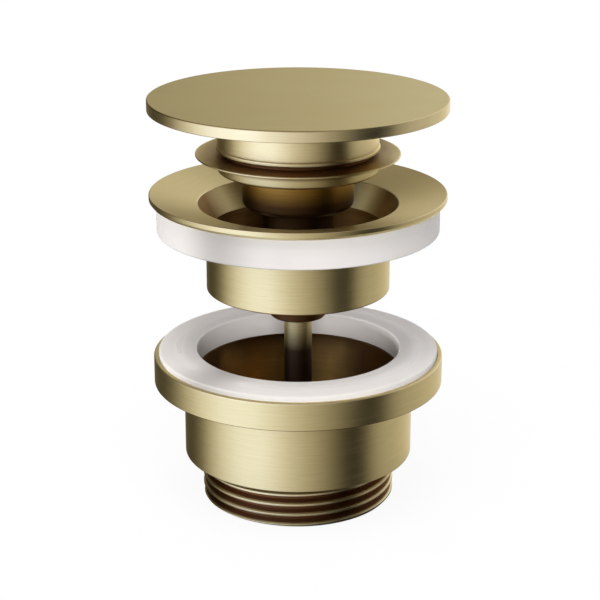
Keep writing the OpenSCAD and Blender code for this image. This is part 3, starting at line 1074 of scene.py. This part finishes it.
    def spring(self) -> Mesh:
        """The coil: a round wire carried up a helix, with its first and last turns wound close.

        The height climbs at a share of the even pitch over the wire's two ends and evenly between them, and
        each section stands square to the wire's level run.

        Returns:
            The spring's mesh.
        """
        t = np.linspace(0, 1, self.turn_steps * self.spring_turns + 1)
        a = 2 * np.pi * self.spring_turns * t
        ends = 2 * self.end_share
        rise = np.clip((t - self.end_share) / (1 - ends), 0, 1)
        close = np.minimum(t, self.end_share) + np.maximum(t - (1 - self.end_share), 0)
        share = self.end_pitch * close + rise * (1 - self.end_pitch * ends)
        wire = self.spring_wire / 2
        mean_r = self.spring_r - wire
        height = self.spring_z + wire + (self.spring_len - 2 * wire) * share
        path = np.stack([mean_r * np.cos(a), mean_r * np.sin(a), height], axis=1)
        side = np.stack([-np.cos(a), -np.sin(a), np.zeros_like(a)], axis=1)
        up = np.tile([0.0, 0.0, 1.0], (a.size, 1))
        out = spin(self.wire_steps)
        ring = Section(*(wire * out).T, *out.T, np.zeros(self.wire_steps), True)
        return lay_mesh("click_spring_coil", carried(path, side, up, ring))

    def build(self) -> None:
        """Makes the flange's pieces and dresses what the cartridge holds."""
        use = self.finishes
        self.place(self.shell(), "brass", use.turned_brass, [use.shaded_well_brass], replaces=["flange_tube"])
        self.place(self.spider_hub(), "brass", use.shaded_well_brass)
        for index in range(self.spokes):
            self.place(self.spoke(index), "brass", use.shaded_well_brass)
        self.place(self.gasket(), "white_rubber", use.white_rubber, replaces=["upper_gasket"])
        coil = self.place(self.spring(), "steel", use.steel, replaces=["click_spring"])
        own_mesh(coil)
        self.dress(use.shaded_inner_brass, "cartridge_barrel")
        self.dress(use.acetal, "barrel_washer", "guide_bush", "stem_washer")
        self.dress(use.black_rubber, "wiper_ring")
        self.dress(use.steel, "spring_disc")


@dataclass
class Tail(SubAssembly):
    """The lower half: threaded body with its cup and gasket, and the bridge that takes the stem.

    The bore has painted shade at its sides, behind the stem and under the gasket, and a painted warm glow
    between.
    """

    body: str = "tail"
    thread: ScrewThread = ScrewThread(
        20.955, 1.479, 2.309, 0.19, 0.77, 0.552,
        shade_and_wear_heights=(0, 0.68, 0.84, 0.96), shade_and_wear=(-1.0, -0.9, 0.6, 1.0),
    )
    thread_end: float = 9.0
    thread_fade: float = 1.1
    thread_rows: int = 170
    row_gap: float = 0.04
    lead_r: float = 20.263
    lead_angle: float = 27.5
    root_r: float = 19.476
    tail_z: float = 9.9
    outlet_r: float = 17.926
    body_r: float = 24.8
    cup_z: float = 26.4
    cup_r: float = 31.25
    cup_top: float = 32.4
    seat_r: float = 30.25
    seat_z: float = 28.5
    bore_r: float = 21.6
    ledge_r: float = 16.626
    ledge_low: float = 11.0
    ledge_top: float = 13.0
    funnel_top: float = 15.0
    clip_r: float = 18.526
    clip_low: float = 6.0
    clip_high: float = 7.0
    gasket_bore: float = 21.9
    gasket_r: float = 30.15
    gasket_top: float = 33.7
    land_r: float = 25.9
    crown: float = 0.22
    rim_shade: float = -0.45
    line_shade: float = -0.9
    shade_depth: float = 9.0
    shade_dark: float = 0.85
    glow_angles: Sequence[float] = (0, 44, 58, 70, 80, 90, 102, 114, 126, 138, 148, 180, 200, 340, 360)
    glow_dark: Sequence[float] = (
        0.9, 0.95, 0.75, 0.3, 0.45, 0.5, 0.4, 0.05, 0.0, 0.5, 0.95, 0.9, 0.0, 0.0, 0.9,
    )

    def shell(self) -> Mesh:
        """The body: a turned wall whose lowest stretch carries the pipe thread.

        The wall is closed from the thread's end, over the cup and down the bore to the end face. The stretch
        between them takes its radius from the thread, cut back by the lead's cone at the end face.

        Returns:
            The body's mesh, its bore with the second material.
        """
        wall = Section.rounded(
            (self.root_r, self.thread_end), (self.root_r, self.tail_z, 0.25),
            (self.body_r, self.tail_z, 0.35), (self.body_r, self.cup_z, 0.35),
            (self.cup_r, self.cup_z, 0.2), (self.cup_r, self.cup_top, 0.3),
            (self.seat_r, self.cup_top, 0.12), (self.seat_r, self.seat_z, 0.15),
            (self.gasket_bore + 0.05, self.seat_z - 0.01), (self.bore_r, self.seat_z, 0.1),
            (self.bore_r + 0.01, self.seat_z - 3), (self.bore_r, self.seat_z - 6),
            (self.bore_r + 0.01, self.seat_z - self.shade_depth), (self.bore_r, self.funnel_top, 0.4),
            (self.ledge_r, self.ledge_top, 0.2), (self.ledge_r, self.ledge_low, 0.1),
            (self.outlet_r, self.ledge_low, 0.1), (self.outlet_r, self.clip_high, 0.05),
            (self.clip_r, self.clip_high, 0.05), (self.clip_r, self.clip_low, 0.05),
            (self.outlet_r, self.clip_low, 0.05), (self.outlet_r, 0, 0.2), (self.lead_r, 0),
            closed=False,
            steps=6,
        )
        z = np.linspace(self.row_gap, self.thread_end - self.row_gap, self.thread_rows)
        section = Section.joined(wall, Section.upright(self.root_r, z), closed=True)
        grid = turned(section, FINE_COLUMNS)
        below_end = -1.0
        cut = self.thread.radius(z, FINE_COLUMNS, below_end, self.thread_end, self.thread_fade)
        cone = self.lead_r + z / math.tan(math.radians(self.lead_angle))
        r = np.minimum(cut, cone[:, None])
        rows = slice(wall.r.size, None)
        grid.reshape(rows, r)
        # Painted shade in the thread's grooves, and a lighter crest: painted highlight, partly abrasion.
        grid.edge[rows] = self.thread.wear_and_painted_light(r)

        # Painted shade and glow in the bore: dark at the sides, behind the stem and under the gasket, the
        # glowing bore brass between.
        inside = (section.r > self.ledge_r + 0.3) & (section.r < self.bore_r + 0.02)
        bore = inside & (section.z > self.ledge_top)
        shade = [self.seat_z - self.shade_depth, self.seat_z]
        under_ring = np.interp(section.z[bore], shade, [0.0, self.shade_dark])
        glow = by_angle(FINE_COLUMNS, self.glow_angles, self.glow_dark)
        grid.edge[bore] = -np.maximum(glow, under_ring[:, None])
        # Painted shade: dark lines at the gasket's ledge and under the cup's lower edge.
        ledge = (np.abs(section.z - self.seat_z) < 0.15) & (section.r < self.gasket_bore + 0.1)
        cup_line = (section.r > self.body_r + 1) & (section.z < self.cup_z + 0.15)
        grid.edge[ledge | cup_line] = self.line_shade
        mesh = lay_mesh("tail_body_threaded", grid)
        index_faces(mesh, self.gasket_bore + 0.1, self.ledge_top - 0.1, self.seat_z + 0.1)
        return mesh

    def gasket(self) -> Mesh:
        """The white ring in the cup: a crowned top between a broken outer rim and a rounded bore.

        Returns:
            The ring's mesh.
        """
        section = Section.rounded(
            (self.gasket_bore, self.seat_z, 0.2), (self.gasket_r, self.seat_z, 0.2),
            (self.gasket_r, self.gasket_top - self.crown, 0.35),
            (self.land_r, self.gasket_top, 60.0), (self.gasket_bore, self.gasket_top, 0.4),
            steps=7,
        )
        # Painted shade over the outer part of the top, a lighter crown (painted highlight, partly abrasion)
        # and a painted soft shade left of the front.
        section.edge[section.r > self.land_r + 2] *= self.rim_shade
        shaded = turned(section).painted_satin_shade(bearing=-42.0, width=15.0, depth=0.9)
        return lay_mesh("lower_gasket_moulded", shaded)

    def build(self) -> None:
        """Makes the tail's pieces and dresses the bridge and its clip."""
        use = self.finishes
        self.place(self.shell(), "brass", use.turned_brass, [use.bore_glow_brass], replaces=["tail_body"])
        self.place(self.gasket(), "white_rubber", use.white_rubber, replaces=["lower_gasket"])
        self.dress(use.shaded_inner_brass, "tail_bridge")
        self.dress(use.steel, "bridge_clip")


@dataclass
class Stem(SubAssembly):
    """The long bolt that draws the two halves together."""

    body: str = "stem"
    thread: ScrewThread = ScrewThread(
        3.0, 0.58, 1.0, 0.08, 0.36, 13.0, shade_and_wear_heights=(0, 0.3, 0.8, 1.0), shade_and_wear=(-0.9, -0.3, 0.2, 0.6)
    )
    columns: int = 96
    end_z: float = 12.5
    foot_r: float = 2.55
    shank_r: float = 3.0
    thread_low: float = 12.85
    thread_top: float = 25.6
    thread_rows: int = 300
    run_out: float = 0.8
    head_r: float = 4.4
    head_z: float = 43.9
    head_top: float = 47.1
    socket_w: float = 4.0
    socket_z: float = 45.1

    def bolt(self) -> Mesh:
        """The bolt: a threaded shank below and a round head with a hexagon socket above.

        The thread rises to the plain shank over its run-out. The socket's wall takes the radius of a hexagon,
        half its width over the cosine of the angle from the middle of the nearest side.

        Returns:
            The bolt's mesh.
        """
        foot = Section.rounded(
            (0, self.end_z), (self.foot_r, self.end_z, 0.1), (self.foot_r, self.thread_low), closed=False
        )
        socket_r = self.socket_w / 2
        head = Section.rounded(
            (self.shank_r, self.thread_top + 0.1), (self.shank_r, self.head_z, 0.2),
            (self.head_r, self.head_z, 0.15), (self.head_r, self.head_top, 0.35),
            (socket_r, self.head_top, 0.02), (socket_r, self.socket_z, 0.02), (0, self.socket_z),
            closed=False,
        )
        z = np.linspace(self.thread_low + 0.03, self.thread_top, self.thread_rows)
        section = Section.joined(foot, Section.upright(self.shank_r, z), head, closed=False)
        grid = turned(section, self.columns)
        r = self.thread.radius(z, self.columns, self.thread_low, self.thread_top + 1, fade=1.0)
        left = (self.thread_top - z[:, None]) / self.run_out
        r = np.where(left < 1, np.maximum(r, self.shank_r - self.thread.depth * left), r)
        rows = slice(foot.r.size, foot.r.size + z.size)
        grid.reshape(rows, r)
        # Painted shade in the thread's grooves, and a lighter crest: painted highlight, partly abrasion.
        grid.edge[rows] = self.thread.wear_and_painted_light(r)
        socket = (section.z > self.socket_z - 0.1) & (np.abs(section.r - socket_r) < 0.1)
        hexagon = 1 / np.cos(np.mod(angles(self.columns), np.pi / 3) - np.pi / 6)
        grid.points[socket, :, :2] *= hexagon[None, :, None]
        return lay_mesh("stem_bolt_threaded", grid)

    def build(self) -> None:
        """Makes the bolt."""
        self.place(self.bolt(), "brass", self.finishes.stem_brass, replaces=["stem_bolt"])


@dataclass
class Rotor(SubAssembly):
    """The rotor that runs in the cartridge's cam track."""

    body: str = "rotor"

    def build(self) -> None:
        """Dresses the rotor."""
        self.dress(self.finishes.acetal, "cam_rotor")


# The studio


@dataclass(frozen=True)
class Softbox:
    """A square lamp aimed at the waste: bearing from the front, height angle, distance, width and power."""

    name: str
    bearing: float
    height: float
    distance: float
    width: float
    power: float

    def hang(self, target: Vector) -> None:
        """Hangs the lamp, unseen by the camera and by the metal.

        Args:
            target: Point that it is aimed at.
        """
        data = bpy.data.lights.new(self.name, "AREA")
        data.shape, data.size, data.energy = "SQUARE", self.width, self.power
        lamp = bpy.data.objects.new(self.name, data)
        b, h = math.radians(self.bearing), math.radians(self.height)
        away = Vector((math.sin(b) * math.cos(h), -math.cos(b) * math.cos(h), math.sin(h)))
        lamp.location = target + away * self.distance
        lamp.rotation_mode = "QUATERNION"
        lamp.rotation_quaternion = away.to_track_quat("Z", "Y")
        lamp.visible_camera = lamp.visible_glossy = False
        bpy.context.scene.collection.objects.link(lamp)
        log.info("%s hung at bearing %.0f", self.name, self.bearing)


@dataclass
class Studio:
    """The white room: pale floor, walls that are lighter and darker by bearing, lamps and camera.

    The floor's reaches, the lamps and their target are in metres.
    """

    walls: Sequence[Span] = (
        (-180, 0.64), (-174, 0.40), (-160, 0.17), (-140, 0.07), (-125, 0.10), (-112, 0.27), (-95, 0.84),
        (-78, 1.42), (-58, 1.80), (-38, 1.80), (-20, 1.38), (-5, 0.98), (12, 0.68), (25, 0.45), (37, 0.24),
        (48, 0.075), (60, 0.015), (70, 0.06), (82, 0.43), (95, 0.61), (110, 0.66), (125, 0.77), (142, 0.89),
        (160, 1.13), (174, 0.98), (180, 0.64),
    )
    brightest: float = 1.8
    warm: Colour = (1.05, 0.98, 0.86)
    cool: Colour = (0.86, 0.95, 1.30)
    warm_to_cool: Span = (0.3, 1.8)
    overhead: float = 0.55
    ceiling: Span = (0.6, 0.9)
    fill: float = 0.45
    floor_r: float = 3.0
    floor_rings: Sequence[float] = (1.0, 0.4, 0.05, 0.0)
    floor_drop: float = 0.02
    floor_columns: int = 96
    floor_white: float = 0.95
    floor_bounce: float = 0.15
    foot_shade: Span = (0.022, 0.042)
    foot_light: float = 0.02
    foot_edge: Span = (0.0185, 0.0205)
    shadow: float = 0.08
    shadow_reach: Span = (0.05, 0.22)
    lamp_target: Colour = (0.0, 0.0, 0.045)
    lamps: Sequence[Softbox] = (
        Softbox("key_softbox", -9, 68, 0.9, 0.45, 4.1),
        Softbox("low_softbox", 1, 11, 0.9, 0.3, 4.3),
        Softbox("left_softbox", -112, -1, 0.9, 0.12, 7.6),
        Softbox("right_softbox", 135, -1, 0.9, 0.12, 2.2),
        Softbox("back_softbox", 178, 40, 0.9, 0.6, 0.8),
    )
    eye: Colour = (0.0, -359.8, 165.4)
    pitch: float = 18.65
    sensor: float = 36.0
    lens: float = 105.73
    shift_x: float = 0.0032
    clip: Span = (0.01, 20.0)

    def wall_light(self, board: Board, x: NodeSocket, y: NodeSocket) -> NodeSocket:
        """Brightness of the room by bearing, read from a direction.

        Args:
            board: Node tree to add to.
            x: Socket of the direction along X.
            y: Socket of the same along Y.

        Returns:
            Socket of the brightness.
        """
        bearing = board.math("ARCTAN2", x, board.math("MULTIPLY", y, -1.0))
        ramp = board.add("ValToRGB")
        ramp.color_ramp.interpolation = "EASE"
        stops = ramp.color_ramp.elements
        for position, (angle, level) in enumerate(self.walls):
            place = (angle + 180) / 360
            stop = stops[position] if position < 2 else stops.new(place)
            stop.position = place
            stop.color = (*[level / self.brightest] * 3, 1.0)
        share = board.run(ramp, board.span(bearing, -math.pi, math.pi, 0.0, 1.0))
        return board.math("MULTIPLY", share, self.brightest)

    def background_rays(self, board: Board) -> Sequence[NodeSocket]:
        """Tells which rays see the plain background.

        Args:
            board: Node tree to add to.

        Returns:
            Sockets for straight or transmitted sight, and for reflected sight.
        """
        path = board.add("LightPath")
        seen = board.math("MAXIMUM", path.outputs["Is Camera Ray"], path.outputs["Is Transmission Ray"])
        return seen, path.outputs["Is Glossy Ray"]

    def room(self) -> None:
        """Lights the world: white to the eye, brighter and darker walls in the metal, an even fill elsewhere.

        In the metal the room is warm in its dark parts and cool in its bright ones.
        """
        world = bpy.data.worlds.new("white_room")
        bpy.context.scene.world = world
        world.use_nodes = True
        board = Board(world.node_tree)
        x, y, z = board.split(board.coords("Generated"))
        seen, mirrored = self.background_rays(board)
        up = board.span(z, *self.ceiling, 0.0, 1.0)
        wall = board.span(up, 0.0, 1.0, self.wall_light(board, x, y), self.overhead)
        light = board.span(mirrored, 0.0, 1.0, self.fill, wall)
        light = board.span(seen, 0.0, 1.0, light, 1.0)
        tint = board.mix(board.span(wall, *self.warm_to_cool, 0.0, 1.0), self.warm, self.cool)
        tint = board.mix(mirrored, (1.0, 1.0, 1.0), tint)
        board.show("World", board.set(board.add("Background"), {"Color": tint, "Strength": light}))

    def floor(self) -> None:
        """Lays the pale floor: a flat disc that takes a soft shadow and shows from above only.

        The metal sees the white room past the floor, and close to the waste a painted shade round its foot.
        """
        r = np.array(self.floor_rings) * self.floor_r / MM
        zero = np.zeros_like(r)
        disc = Section(r, zero - self.floor_drop, zero, zero + 1, zero, False)
        mesh = lay_mesh("pale_floor", turned(disc, self.floor_columns))
        piece = bpy.data.objects.new(mesh.name, mesh)
        bpy.context.scene.collection.objects.link(piece)
        made = bpy.data.materials.new("pale_floor")
        made.use_nodes = True
        board = Board(made.node_tree)
        x, y, _ = board.split(board.coords())
        out = board.radius(x, y)
        seen, mirrored = self.background_rays(board)
        plain = board.span(out, *self.shadow_reach, 1.0 - self.shadow, 1.0)
        plain = board.math("MULTIPLY", plain, board.span(out, *self.foot_edge, 0.0, 1.0))
        share = board.math("MAXIMUM", board.math("MULTIPLY", seen, plain), mirrored)
        colour = board.mix(seen, (self.floor_bounce,) * 3, (self.floor_white,) * 3)
        matt = board.set(board.add("BsdfDiffuse"), {"Color": colour})
        strength = board.math("MULTIPLY_ADD", mirrored, self.foot_light, seen)
        glow = board.set(board.add("Emission"), {"Strength": strength})
        lit = board.run(board.add("MixShader"), share, matt, glow)
        past = board.math("MULTIPLY", mirrored, board.span(out, *self.foot_shade, 0.0, 1.0))
        through = board.math("MAXIMUM", past, board.add("NewGeometry").outputs["Backfacing"])
        clear = board.add("BsdfTransparent").outputs[0]
        board.show("Material", board.run(board.add("MixShader"), through, lit, clear))
        mesh.materials.append(made)

    def camera(self) -> None:
        """Stands the camera in front, a little above, looking down at the waste."""
        data = bpy.data.cameras.new("photo_camera")
        data.sensor_width, data.lens, data.shift_x = self.sensor, self.lens, self.shift_x
        data.clip_start, data.clip_end = self.clip
        eye = bpy.data.objects.new("photo_camera", data)
        eye.location = Vector(self.eye) * MM
        eye.rotation_euler = (math.radians(90 - self.pitch), 0.0, 0.0)
        bpy.context.scene.collection.objects.link(eye)
        bpy.context.scene.camera = eye

    def build(self) -> None:
        """Sets up the room, the floor, the lamps and the camera."""
        bpy.context.scene.view_settings.view_transform = "Standard"
        self.room()
        self.floor()
        for lamp in self.lamps:
            lamp.hang(Vector(self.lamp_target))
        self.camera()


def main() -> None:
    """Builds the waste from its tail up, then the studio round it."""
    logging.basicConfig(level=logging.INFO, format="%(name)s: %(message)s")
    finishes = Finishes()
    for part in (Tail(finishes), Stem(finishes), Flange(finishes), Rotor(finishes), Plug(finishes)):
        part.build()
    Studio().build()


if __name__ == "__main__":
    main()
